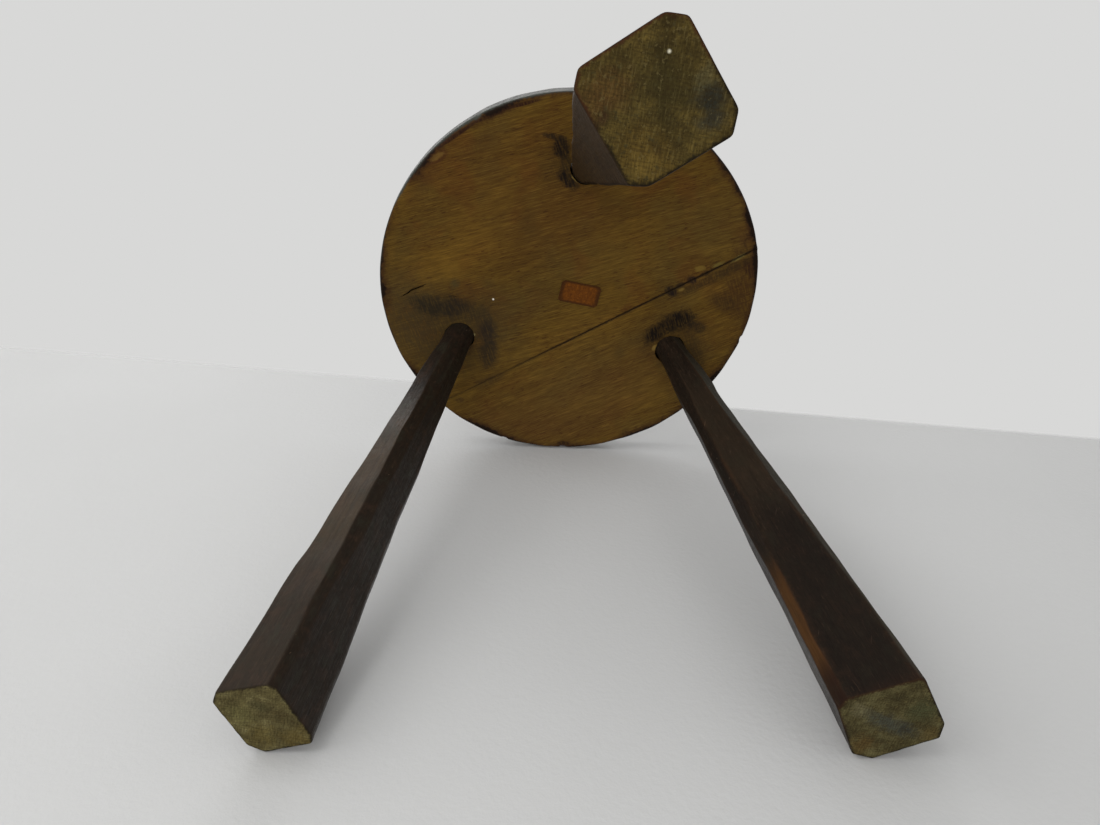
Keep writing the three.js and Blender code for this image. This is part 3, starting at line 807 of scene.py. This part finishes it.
def seat_finish(name, grain, reds, shine):
    """Raw ochre wood underneath, and a dark worn polish on the rim and the sitting face, with a
    painted grey-green highlight on the rim's upper left side.
    """
    f = Finish(name)
    seat = f.place(SEAT_PLACE)
    turned = (0, 0, grain)
    streaks = f.noise(f.place(SEAT_PLACE, turned, (17, 1, 2)), 0.0024, 5, 0.72, 0.15)
    hair = f.noise(f.place(SEAT_PLACE, turned, (22, 1, 2)), 0.0006, 2, 0.6)
    bands = f.noise(f.place(SEAT_PLACE, turned, (5, 1, 2)), 0.015, 4, 0.6, 0.5)
    cloud = f.noise(seat, 0.055, 4, 0.55)
    grit = f.noise(seat, 0.0028, 5, 0.7)
    speckle = f.noise(seat, 0.0009, 2, 0.6)
    dashes = f.noise(f.place(SEAT_PLACE, turned, (9, 1, 3)), 0.00075, 1, 0.5)
    x, y, z = f.split(seat)
    radius = f.reach(f.place(SEAT_PLACE, (0, 0, 0), (1, 1, 1e6)))

    wood = f.ramp(bands, (0.30, tone(80, 57, 16)), (0.46, tone(93, 68, 20)),
                  (0.60, tone(100, 75, 23)), (0.74, tone(112, 84, 27)))
    wood = f.mix(f.band(cloud, 0.44, 0.64, 0.0, 0.7), wood, tone(84, 66, 27))
    wood = f.mix(f.band(f.noise(seat, 0.034, 3, 0.5, 0.4), 0.5, 0.68, 0.0, reds), wood,
                 tone(92, 54, 17))
    for centre, radii, turn, strength, colour in TONES:
        wood = f.mix(f.patch(centre, radii, turn, 1.6, cloud, 0.9, strength), wood,
                     colour)
    wood = f.layers(wood, (streaks, 0.38, 0.60, 0.34, 0.0, tone(62, 41, 14)),
                    (streaks, 0.54, 0.72, 0.0, 0.28, tone(122, 92, 34)),
                    (hair, 0.36, 0.60, 0.42, 0.0, tone(56, 38, 14)),
                    (hair, 0.54, 0.70, 0.0, 0.28, tone(124, 96, 40)))
    pores = f.both(f.band(dashes, 0.60, 0.68), f.band(bands, 0.60, 0.42, 0.3, 1.0))
    wood = f.mix(f.both(pores, 0.72), wood, tone(50, 25, 9))
    wood = f.mix(f.band(speckle, 0.38, 0.30, 0.0, 0.25), wood, tone(48, 34, 16))
    smear = f.noise(f.place(SEAT_PLACE, (0, 0, 1.2), (7, 1, 1)), 0.0013, 3, 0.65)
    mottle = f.noise(seat, 0.008, 6, 0.72, 0.5)
    rough_edge = f.sum(f.sum(f.reckon("MULTIPLY", mottle, 0.45), grit, 0.3), smear, 0.25)
    for centre, radii, turn, ragged, soft, strength, colour in STAINS:
        mask = f.patch(centre, radii, turn, ragged * 2.2, rough_edge, soft)
        mask = f.both(mask, f.band(smear, 0.36, 0.56, 0.45 * strength, strength))
        wood = f.mix(mask, wood, colour)
    # thin curling lines where old bark ran, beside the rim above the joint
    curl = f.reckon("ABSOLUTE", f.reckon("SUBTRACT", f.noise(seat, 0.011, 3, 0.6, 0.8), 0.5))
    lines = f.both(f.band(curl, 0.026, 0.006, 0.0, 0.5), f.either(
        f.patch((0.131, -0.041), (0.017, 0.011), -60, 1.2, grit, 0.5),
        f.patch((0.105, -0.020), (0.028, 0.006), -32, 1.2, grit, 0.5)))
    wood = f.mix(lines, wood, tone(46, 30, 15))
    for centre, radii, turn, colour in PALE_CHIPS:
        wood = f.mix(f.patch(centre, radii, turn, 1.6, grit, 0.4, 0.8), wood, colour)

    # dirt gathers along the joint, and the polish has run over the lower edge
    facing = (0, 0, JOINT_FACING)
    joint, along, _ = f.split(f.place(SEAT_PLACE, facing))
    beside = f.reckon("ABSOLUTE", f.reckon("SUBTRACT", joint, JOINT_OFFSET))
    dirt = f.both(f.band(f.sum(beside, grit, -0.0026), 0.0004, -0.0010, 0.0, 0.8),
                  f.band(along, 0.09, 0.02, 0.45, 1.0))
    wood = f.mix(dirt, wood, tone(34, 24, 13))
    run = f.sum(f.sum(radius, f.reckon("SUBTRACT", grit, 0.5), 0.009),
                f.reckon("SUBTRACT", cloud, 0.55), 0.030)
    upper_left = f.sum(f.reckon("MULTIPLY", x, -0.57), y, -0.82)
    run = f.sum(run, f.band(upper_left, 0.118, 0.146), 0.0022)
    wood = f.layers(
        wood, (run, SEAT_RADIUS - 0.0085, SEAT_RADIUS - 0.0020, 0.0, 0.85, tone(52, 31, 15)),
        (run, SEAT_RADIUS - 0.0036, SEAT_RADIUS - 0.0015, 0.0, 0.9, tone(24, 16, 11)))

    polish = f.ramp(bands, (0.30, tone(24, 16, 12)), (0.52, tone(38, 25, 17)),
                    (0.72, tone(52, 33, 20)))
    polish = f.mix(f.band(streaks, 0.35, 0.62, 0.5, 0.0), polish, tone(17, 12, 9))
    sat_on = f.both(f.band(f.sum(radius, cloud, 0.10), 0.185, 0.095),
                    f.band(z, SEAT_THICKNESS - 0.003, SEAT_THICKNESS - 0.0005))
    polish = f.mix(f.both(sat_on, f.band(streaks, 0.36, 0.6, 0.35, 0.8)), polish,
                   tone(70, 50, 33))
    polish = f.mix(f.both(pores, 0.6), polish, tone(14, 10, 8))
    arris = f.both(f.band(radius, SEAT_RADIUS - 0.007, SEAT_RADIUS - 0.004),
                   f.band(z, SEAT_THICKNESS - 0.006, SEAT_THICKNESS - 0.003),
                   f.band(grit, 0.5, 0.62, 0.0, 0.75))
    polish = f.mix(arris, polish, tone(96, 62, 34))
    scuff = f.both(f.band(f.noise(f.place(SEAT_PLACE, (0, 0, 0.9), (18, 1, 1)), 0.0012, 2),
                          0.68, 0.74), f.band(cloud, 0.45, 0.6))
    polish = f.mix(f.both(scuff, 0.5), polish, tone(98, 72, 48))

    # painted highlight: a grey-green reflection painted onto the rim's upper left side,
    # strongest near the underside
    painted_rim_highlight = f.both(f.band(upper_left, 0.070, 0.120, 0.0, 0.7),
                   f.band(z, SEAT_THICKNESS - 0.004, 0.004, 0.2, 1.0),
                   f.band(grit, 0.3, 0.6, 0.6, 1.0))
    polish = f.mix(painted_rim_highlight, polish, tone(64, 69, 62))
    polished = f.band(f.sum(z, grit, 0.0016), 0.0011, 0.0026)
    colour = f.mix(polished, wood, polish)
    gloss = f.sum(f.band(grit, 0.3, 0.7, 0.42, 0.58), sat_on, 0.08)
    rough = f.blend(polished, f.band(streaks, 0.3, 0.7, 0.72, 0.60), gloss)
    return f.finish(colour, rough, ((bands, 0.0004), (streaks, 0.00022), (hair, 0.00008),
                                    (dashes, 0.00006), (grit, 0.00012)),
                    Specular_IOR_Level=shine)


def leg_turn(name):
    """The turn that takes z to the leg's axis and x to its wide side's direction."""
    leg = LEGS[name]
    _, up = leg_axis(leg)
    facing = math.radians(leg["facing"])
    wide = np.array([math.cos(facing), math.sin(facing), 0])
    wide -= up * (wide @ up)
    wide /= np.linalg.norm(wide)
    deep = np.cross(up, wide)
    return Matrix(np.column_stack([wide, deep, up]).tolist()).to_euler("XYZ")


FOOT_WOOD = {  # the dark, middle and light of the end grain
    "front": (tone(50, 41, 20), tone(74, 62, 31), tone(98, 82, 40)),
    "right": (tone(52, 47, 30), tone(74, 68, 43), tone(100, 94, 62)),
    "left": (tone(68, 61, 36), tone(92, 84, 52), tone(122, 114, 76)),
}
FOOT_PATCHES = {  # centre in the foot's own axes, radii, turn, colour, strength
    "front": (((0.0025, 0.0040), (0.013, 0.009), 0, tone(50, 46, 25), 0.55),
              ((-0.0150, -0.0140), (0.011, 0.008), 0, tone(108, 86, 38), 0.5),
              ((0.0120, -0.0150), (0.006, 0.009), 0, tone(94, 62, 34), 0.4),
              ((-0.0089, 0.0160), (0.0040, 0.0055), 20, tone(38, 41, 37), 0.85),
              ((-0.0158, 0.0120), (0.0036, 0.0050), 0, tone(42, 45, 41), 0.75),
              ((-0.0020, 0.0175), (0.0050, 0.0030), 60, tone(88, 86, 62), 0.4),
              ((-0.0125, -0.0085), (0.0040, 0.0016), 0, tone(46, 34, 20), 0.5),
              ((0.0060, -0.0185), (0.0040, 0.0016), 60, tone(50, 30, 24), 0.5),
              ((0.0120, 0.0110), (0.0006, 0.0006), 0, tone(206, 200, 176), 1.0)),
    "right": (((0.0003, -0.0173), (0.007, 0.008), 0, tone(74, 80, 54), 0.5),
              ((0.0126, 0.0180), (0.007, 0.006), 0, tone(96, 74, 38), 0.5),
              ((0.0200, -0.0165), (0.005, 0.005), 0, tone(96, 78, 42), 0.4),
              ((0.0030, 0.0015), (0.015, 0.0045), -39, tone(66, 70, 63), 0.75),
              ((0.0110, -0.0050), (0.0035, 0.0035), 0, tone(42, 46, 44), 0.7),
              ((-0.0134, 0.0138), (0.005, 0.004), 0, tone(118, 112, 82), 0.5)),
    "left": (((0.0099, 0.0061), (0.006, 0.007), 0, tone(114, 110, 66), 0.4),
             ((0.0058, -0.0103), (0.006, 0.007), 0, tone(106, 92, 44), 0.4),
             ((-0.0100, -0.0180), (0.007, 0.006), 0, tone(106, 88, 38), 0.4),
             ((-0.0082, 0.0019), (0.006, 0.003), 60, tone(62, 52, 28), 0.6),
             ((-0.0020, 0.0080), (0.0050, 0.0028), 40, tone(60, 58, 36), 0.6)),
}
# how strongly each foot's arris is painted reddish on its lit side
FOOT_LIT_RED = {"front": 0.9, "right": 0.45, "left": 0.1}
SPECK = 0.001  # a foot's patch up to this size is a speck, with an even outline


def leg_finish(name):
    """Dark stained wood with a low gloss, worn edges, and bare end grain on the foot."""
    leg = LEGS[name]
    f = Finish(f"{name} leg wood")
    foot_place, _ = leg_axis(leg)
    origin = foot_place + SEAT_PLACE
    turn = leg_turn(name)
    shift = LEG_NAMES.index(name) * 0.7
    own = f.place(origin, turn)
    apart = origin + np.array([shift, 0, 0])
    long = f.place(apart, turn, (1, 1, 24))
    streaks = f.noise(long, 0.0022, 5, 0.66, 0.3)
    hair = f.noise(f.place(apart, turn, (1, 1, 30)), 0.0006, 2, 0.6)
    bands = f.noise(f.place(apart, turn, (1, 1, 8)), 0.012, 4, 0.6, 0.4)
    cloud = f.noise(f.place(apart, turn, (1, 1, 2)), 0.028, 4, 0.6)
    grit = f.noise(own, 0.0026, 5, 0.7)
    flecks = f.noise(f.place(apart, turn, (1, 1, 7)), 0.0009, 1, 0.5)
    height = f.split(own)[2]
    edge, foot = f.kept("edge"), f.kept("foot")

    stain = f.ramp(bands, (0.32, tone(32, 25, 19)), (0.5, tone(39, 31, 24)),
                   (0.68, tone(47, 37, 28)))
    stain = f.layers(stain, (cloud, 0.5, 0.66, 0.0, 0.6, tone(29, 24, 20)),
                     (streaks, 0.38, 0.60, 0.38, 0.0, tone(22, 17, 13)),
                     (streaks, 0.55, 0.72, 0.0, 0.22, tone(60, 45, 33)),
                     (hair, 0.36, 0.56, 0.4, 0.0, tone(20, 16, 13)),
                     (flecks, 0.60, 0.68, 0.0, 0.55, tone(13, 10, 9)),
                     (flecks, 0.35, 0.29, 0.0, 0.3, tone(84, 66, 50)),
                     (grit, 0.40, 0.34, 0.0, 0.25, tone(58, 44, 32)))
    # the leg marks: worn and gathered stain, and on the front leg partly painted bounce light
    for index, (_, _, _, colour, strength) in enumerate(LEG_MARKS[name]):
        mask = f.both(f.kept(f"mark_{index}"),
                      f.band(f.sum(streaks, cloud, 0.9), 0.72, 1.05, 0.5 * strength, strength))
        stain = f.mix(mask, stain, colour)
    mottle = f.noise(f.place(apart, turn, (1, 1, 1.6)), 0.009, 5, 0.7, 0.4)
    cloudy = LEG_MOTTLE[name]
    stain = f.layers(stain, (mottle, 0.50, 0.70, 0.0, 0.5 * cloudy, tone(74, 52, 38)),
                     (mottle, 0.49, 0.34, 0.0, cloudy, tone(42, 41, 31)))
    worn = f.both(edge, f.band(f.sum(grit, cloud, 0.8), 0.86, 1.1, 0.05, LEG_WEAR[name]))
    stain = f.mix(worn, stain, tone(66, 45, 29))
    scuff = f.both(f.band(f.noise(f.place(origin, (turn[0] + 0.5, turn[1], turn[2]),
                                          (1, 1, 30)), 0.0011, 1), 0.70, 0.75),
                   f.band(cloud, 0.52, 0.62, 0.0, 0.5))
    stain = f.mix(scuff, stain, tone(112, 92, 74))
    low = f.band(f.sum(height, grit, 0.012), 0.017, 0.008, 0.0, 0.8 * LEG_WEAR[name])
    stain = f.mix(low, stain, tone(46, 28, 19))

    heart = 0.055  # the foot is cut this far from the middle of its tree
    ring_place = f.place(origin + np.array([heart, 0.6 * heart, 0]), turn, (1, 1, 1e4))
    around = f.reach(ring_place)
    ripple = f.sum(around, f.reckon("SUBTRACT", f.noise(own, 0.012, 2), 0.5), 0.003)
    rings = f.band(f.reckon("SINE", f.reckon("MULTIPLY", ripple, 2 * math.pi / 0.0016)),
                   -0.6, 0.9)
    sawn = f.noise(f.place(origin, (0, 0, 1.62), (9, 1, 1)), 0.0008, 2, 0.6)
    rays = f.noise(f.place(origin, (0, 0, 0.12), (7, 1, 1)), 0.0009, 2, 0.6)
    dots = f.add("ShaderNodeTexVoronoi", None, {"Vector": own, "Scale": 1 / 0.0013,
                                                "Randomness": 1.0}).outputs["Distance"]
    patchy = f.noise(own, 0.010, 5, 0.7)
    dark, middle, light = FOOT_WOOD[name]
    end = f.ramp(patchy, (0.34, dark), (0.5, middle), (0.66, light))
    facing_place = f.place(origin, (0, 0, math.radians(leg["facing"])))
    uneven = f.sum(f.reckon("MULTIPLY", grit, 0.5), f.noise(own, 0.006, 4, 0.65), 0.5)
    for centre, radii, patch_turn, colour, strength in FOOT_PATCHES[name]:
        shifted = f.place((*centre, 0), (0, 0, math.radians(patch_turn)), (*radii, 1),
                          facing_place)
        ragged = 3.2 if min(radii) > SPECK else 0.4
        away = f.sum(f.reach(shifted), f.reckon("SUBTRACT", uneven, 0.5), ragged)
        end = f.mix(f.band(away, 1.7, 0.3, 0.0, strength), end, colour)
    end = f.layers(end, (rings, 0, 1, 0.0, 0.16, tone(44, 34, 18)),
                   (sawn, 0.36, 0.56, 0.38, 0.0, tone(44, 36, 20)),
                   (rays, 0.38, 0.56, 0.38, 0.0, tone(46, 36, 20)),
                   (sawn, 0.56, 0.72, 0.0, 0.24, tone(110, 99, 62)),
                   (dots, 0.28, 0.14, 0.0, 0.5, tone(34, 26, 14)),
                   (grit, 0.55, 0.68, 0.0, 0.5, tone(60, 56, 36)),
                   (grit, 0.42, 0.34, 0.0, 0.4, tone(104, 92, 56)))
    # the stain laps over the arris, and its colour there is partly painted light: reddish on
    # the lit side towards the seat's front, black on the shaded side
    aside = f.split(f.place(origin))
    lit_side_red = f.band(f.sum(f.reckon("MULTIPLY", aside[0], -0.5), aside[1], -0.85),
                      -0.004, 0.012, 0.0, FOOT_LIT_RED[name])
    border = f.mix(lit_side_red, tone(25, 22, 17), tone(60, 33, 22))
    end = f.mix(f.band(f.sum(f.kept("rim"), grit, 0.20), 1.02, 1.09, 0.0, 0.85), end, border)
    colour = f.mix(foot, stain, end)
    gloss = f.band(f.sum(grit, cloud, 0.5), 0.55, 0.95, 0.40, 0.58)
    rough = f.blend(foot, gloss, 0.82)
    return f.finish(colour, rough, ((bands, 0.0005), (streaks, 0.0003), (flecks, 0.00010),
                                    (hair, 0.00006), (f.both(sawn, foot), 0.0002)),
                    Specular_IOR_Level=LEG_SHINE[name])


def small_wood(name, dark, light):
    """Plain straight-grained wood for wedges and dowels, streaked along the seat's grain."""
    f = Finish(name)
    streaks = f.noise(f.place(SEAT_PLACE, (0, 0, JOINT_FACING), (6, 1, 14)), 0.0012, 4, 0.65)
    grit = f.noise(f.object_place, 0.0015, 4, 0.65)
    colour = f.ramp(streaks, (0.3, dark), (0.7, light))
    colour = f.mix(f.band(grit, 0.5, 0.66, 0.0, 0.5), colour, dark)
    return f.finish(colour, f.band(grit, 0.3, 0.7, 0.36, 0.6), ((streaks, 0.00015),
                                                                (grit, 0.00008)))


def label_finish():
    """Old orange-brown paper, darker and rubbed towards its edges, and left blank."""
    f = Finish("aged paper")
    border = f.kept("border")
    fibre = f.noise(f.object_place, 0.0007, 4, 0.7)
    blotch = f.noise(f.object_place, 0.0021, 5, 0.7)
    colour = f.ramp(blotch, (0.34, tone(84, 46, 9)), (0.5, tone(98, 54, 10)),
                    (0.66, tone(116, 66, 12)))
    colour = f.mix(f.band(fibre, 0.4, 0.6, 0.35, 0.0), colour, tone(58, 30, 12))
    edge = f.sum(border, f.reckon("SUBTRACT", fibre, 0.5), 0.35)
    colour = f.mix(f.band(edge, 0.76, 0.90, 0.0, 0.75), colour, tone(50, 30, 12))
    colour = f.mix(f.band(edge, 1.00, 1.06, 0.0, 0.5), colour, tone(98, 66, 30))
    return f.finish(colour, f.band(blotch, 0.3, 0.7, 0.62, 0.48),
                    ((fibre, 0.0001),), Specular_IOR_Level=0.08)


for name, leg in legs.items():
    leg.data.materials.append(leg_finish(name))
for node, turn, reds in zip(BOARDS, (WIDE_GRAIN, NARROW_GRAIN), (0.5, 0.35)):
    kind = node.replace("_", " ")
    boards[node].data.materials.clear()
    # the rim has no shine of its own: its highlight is painted in seat_finish
    for part, shine in (("raw", 0.09), ("rim", 0.0), ("polished", 0.12)):
        boards[node].data.materials.append(seat_finish(f"{kind} {part}", turn, reds, shine))
label.data.materials.append(label_finish())
wedge_wood = small_wood("wedge wood", tone(40, 26, 16), tone(84, 56, 34))
dowel_wood = small_wood("dowel wood", tone(92, 70, 42), tone(138, 108, 68))
for node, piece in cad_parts.items():
    if "wedge" in node or "dowel" in node:
        piece.data.materials.clear()
        piece.data.materials.append(wedge_wood if "wedge" in node else dowel_wood)

# ---------------------------------------------------------------- what each piece is

for name, leg in legs.items():
    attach(leg, "root")
    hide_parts(f"{name}_leg")
for node, board in boards.items():
    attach(board, "root")
    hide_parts(node)
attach(label, "root")
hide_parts("paper_label")

# ---------------------------------------------------------------- stage and light


def support_plane():
    """The plane that the tipped stool lies on, as (a point, the direction to the stool).

    Start facing +Y. The farthest point of the seat, of the left leg and of the right leg that
    way make a plane, whose own direction is used for the next try.
    """
    groups = [np.concatenate([own_points(piece) for piece in group])
              for group in (boards.values(), [legs["left"]], [legs["right"]])]
    out = np.array([0, 1.0, 0])
    for _ in range(6):
        touching = [points[np.argmax(points @ out)] for points in groups]
        out = np.cross(touching[1] - touching[0], touching[2] - touching[0])
        out *= np.sign(out[1]) / np.linalg.norm(out)
    return touching[0], -out


PALE = tone(216, 216, 215)


def stage_sheet(name, centre, facing, colour, fades, end=None):
    """A large flat sheet, pale on the side that it faces and clear from behind.

    Between the two reaches in fades it turns into the pale colour round the studio.
    end is (a place, a turn): past that place, upwards in the turned axes, the sheet is clear.
    """
    half = 6.0
    facing = Vector(facing).normalized()
    turn = facing.to_track_quat("Z", "Y").to_matrix()
    corners = [turn @ Vector((sx * half, sy * half, 0)) + Vector(centre)
               for sx, sy in ((-1, -1), (1, -1), (1, 1), (-1, 1))]
    mesh = bpy.data.meshes.new(name)
    mesh.from_pydata([tuple(c) for c in corners], [], [(0, 1, 2, 3)])
    sheet = bpy.data.objects.new(name, mesh)
    bpy.context.scene.collection.objects.link(sheet)
    f = Finish(name)
    board = f.noise(f.object_place, 0.004, 3, 0.6)
    shaded = f.mix(f.band(f.noise(f.object_place, 0.25, 2), 0.35, 0.65, 0.0, 0.04), colour,
                   tone(150, 150, 148))
    f.finish(shaded, 0.85, ((board, 0.0003),), Specular_IOR_Level=0.1)
    hidden = f.add("ShaderNodeNewGeometry").outputs["Backfacing"]
    if end:
        hidden = f.either(hidden, f.band(f.split(f.place(*end))[2], 0.0, 0.008))
    clear = f.add("ShaderNodeBsdfTransparent").outputs[0]
    far = f.add("ShaderNodeEmission", None, {"Color": PALE}).outputs[0]
    fading = f.add("ShaderNodeMixShader", None, {
        0: f.band(f.reach(f.object_place), *fades), 1: f.shader.outputs[0], 2: far})
    shown = f.add("ShaderNodeMixShader", None, {0: hidden, 1: fading.outputs[0], 2: clear})
    f.put(f.first("OUTPUT_MATERIAL").inputs["Surface"], shown.outputs[0])
    mesh.materials.append(f.material)
    sheet.visible_shadow = False
    sheet.visible_diffuse = False
    sheet.visible_glossy = False


SHEET_END = ((0.0, 0.0, 0.4700), (0.0, math.radians(6.8), 0.0))
lies_on, lies_out = support_plane()
stage_sheet("resting_sheet", lies_on + SEAT_PLACE - lies_out * 0.0005, lies_out,
            tone(200, 200, 199), (1.3, 2.6), SHEET_END)
stage_sheet("standing_floor", (0, 0, -0.0003), (0, 0, 1), tone(205, 205, 203), (0.7, 1.5))


def area_lamp(name, place, size, power, glossy=True):
    """A soft square lamp aimed at the middle of the stool."""
    data = bpy.data.lights.new(name, "AREA")
    data.size = size
    data.energy = power
    lamp = bpy.data.objects.new(name, data)
    lamp.location = place
    lamp.rotation_euler = (MIDDLE - Vector(place)).to_track_quat("-Z", "Y").to_euler()
    lamp.visible_glossy = glossy
    lamp.visible_camera = False
    bpy.context.scene.collection.objects.link(lamp)


MIDDLE = (cad_low + cad_high) / 2
area_lamp("window", (-1.1, -1.3, 0.10), 1.5, 15.0)
area_lamp("ceiling", (-0.3, -0.5, 1.9), 1.4, 13.0)
area_lamp("room", (-0.4, -0.5, -1.5), 1.3, 14.0, glossy=False)

world = bpy.data.worlds.new("studio")
world.use_nodes = True
bpy.context.scene.world = world
sky = Words(world.node_tree)
ambient = sky.first("BACKGROUND")
ambient.inputs["Color"].default_value = (1, 1, 1, 1)
ambient.inputs["Strength"].default_value = 0.55
upwards = sky.split(sky.add("ShaderNodeTexCoord").outputs["Generated"])["Z"]
backdrop = sky.mix(sky.band(upwards, -0.45, -0.05), tone(70, 70, 68), PALE)
pale = sky.add("ShaderNodeBackground", None, {"Color": backdrop, "Strength": 1.0})
rays = sky.add("ShaderNodeLightPath").outputs
seen = sky.either(rays["Is Camera Ray"], rays["Is Glossy Ray"], rays["Is Transmission Ray"])
shown = sky.add("ShaderNodeMixShader", None, {0: seen, 1: ambient.outputs[0],
                                              2: pale.outputs[0]})
sky.put(sky.first("OUTPUT_WORLD").inputs["Surface"], shown.outputs[0])

# ---------------------------------------------------------------- camera

CAMERA_PLACE = np.array([-0.0632, -0.2665, -0.6761])  # from the middle of the underside
CAMERA_LOOK = Vector((0.0724, 0.4897, 0.8689)).normalized()
CAMERA_UP = Vector((-0.0509, -0.8682, 0.4936))
across = CAMERA_LOOK.cross(CAMERA_UP).normalized()
camera_data = bpy.data.cameras.new("camera")
camera_data.sensor_width = 36.0
camera_data.lens = 29.78
camera_data.clip_start = 0.01
camera = bpy.data.objects.new("camera", camera_data)
turn = Matrix((across, across.cross(CAMERA_LOOK), -CAMERA_LOOK)).transposed().to_4x4()
camera.matrix_world = Matrix.Translation(CAMERA_PLACE + SEAT_PLACE) @ turn
bpy.context.scene.collection.objects.link(camera)
bpy.context.scene.camera = camera
bpy.context.scene.view_settings.view_transform = "Standard"
